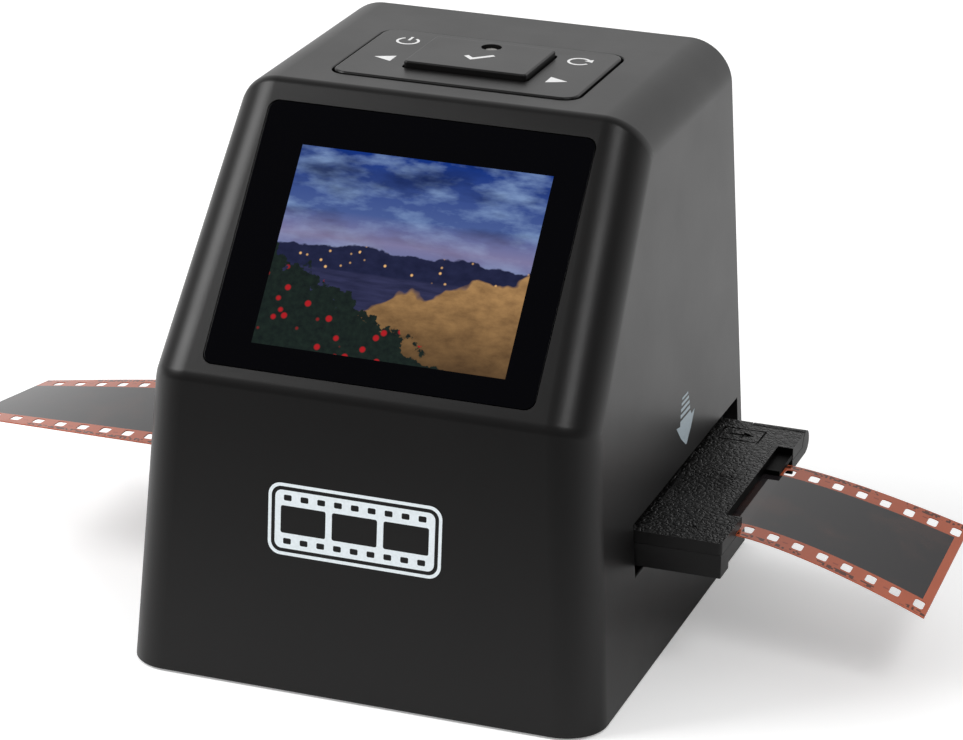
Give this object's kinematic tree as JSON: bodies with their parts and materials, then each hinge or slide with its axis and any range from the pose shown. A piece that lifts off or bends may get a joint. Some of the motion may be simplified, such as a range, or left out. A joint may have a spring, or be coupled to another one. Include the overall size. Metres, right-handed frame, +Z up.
{
  "type": "film_negative_scanner",
  "caption": "Table-top 35 mm film negative scanner: wedge-shaped black body, colour screen, rocking key plate with OK key, two-part film tray with a strip of negatives through the sides.",
  "frame": {"origin": "on the table, under the middle of the body's base", "axes": "+X is the side where the tray sticks out further, -Y is the front with the screen, +Z is up"},
  "size_m": [0.19, 0.095, 0.104],
  "materials": {
    "black_plastic": "satin moulded plastic",
    "gloss_black": "glossy pane",
    "key_plastic": "satin moulded plastic",
    "inner_plastic": "moulded plastic, unpainted",
    "white_plastic": "white moulded plastic",
    "clear_plastic": "clear plastic",
    "rubber": "soft feet",
    "steel": "zinc-plated",
    "brass": "turned",
    "circuit": "solder mask",
    "chip": "moulded chip",
    "ribbon": "amber film",
    "display": "lit picture",
    "lens": "coated lens",
    "film": "orange-brown base"
  },
  "bodies": {
    "body": {"main_housing": "black_plastic", "rear_cover": "black_plastic", "base_plate": "black_plastic", "rubber_feet": "rubber", "base_screws": "steel", "rear_screws": "steel", "screen_window": "gloss_black", "lcd_panel": "display", "lcd_frame": "inner_plastic", "lcd_flex": "ribbon", "key_frame": "inner_plastic", "key_screws": "steel", "key_board": "circuit", "key_board_screws": "steel", "tact_switches": "chip", "status_led": "white_plastic", "light_pipe": "clear_plastic", "key_flex": "ribbon", "main_board": "circuit", "board_standoffs": "brass", "board_screws": "steel", "processor": "chip", "memory_chips": "chip", "usb_socket": "steel", "card_socket": "steel", "tray_guide": "inner_plastic", "guide_screws": "steel", "light_tunnel": "inner_plastic", "tunnel_screws": "steel", "lens_holder": "inner_plastic", "lens_barrel": "inner_plastic", "lens_glass": "lens", "camera_board": "circuit", "image_sensor": "chip", "camera_screws": "steel", "camera_flex": "ribbon", "backlight_housing": "white_plastic", "diffuser_panel": "white_plastic", "led_board": "circuit", "backlight_leds": "white_plastic", "led_flex": "ribbon"},
    "ok_key_body": {"ok_key": "key_plastic"},
    "rocker": {"key_rocker": "inner_plastic"},
    "plate": {"key_plate": "key_plastic"},
    "tray": {"tray_base": "black_plastic", "tray_hinge_pin": "steel"},
    "lid": {"tray_lid": "black_plastic"},
    "film": {"film_strip": "film"}
  },
  "joints": [
    {"name": "tray_slide", "type": "slide", "parent": "body", "child": "tray", "axis": [1, 0, 0], "range_m": [0, 0.1]},
    {"name": "lid_hinge", "type": "hinge", "parent": "tray", "child": "lid", "pos_m": [0, 0.0368, 0.0279], "axis": [-1, 0, 0], "range_deg": [0, 1]},
    {"name": "film_feed", "type": "slide", "parent": "tray", "child": "film", "axis": [1, 0, 0], "range_m": [0, 0.00475]},
    {"name": "ok_press", "type": "slide", "parent": "body", "child": "ok_key_body", "axis": [0, 0, -1], "range_m": [0, 0.0006], "stiffness_N_per_m": 1500, "springref_m": -0.0003},
    {"name": "key_side_tilt", "type": "hinge", "parent": "body", "child": "rocker", "pos_m": [0, 0.01465, 0.098], "axis": [0, 1, 0], "range_deg": [-1.2, 1.2], "stiffness_Nm_per_rad": 1},
    {"name": "key_front_tilt", "type": "hinge", "parent": "rocker", "child": "plate", "pos_m": [0, 0.01465, 0.098], "axis": [1, 0, 0], "range_deg": [-1.2, 1.2], "stiffness_Nm_per_rad": 1}
  ]
}
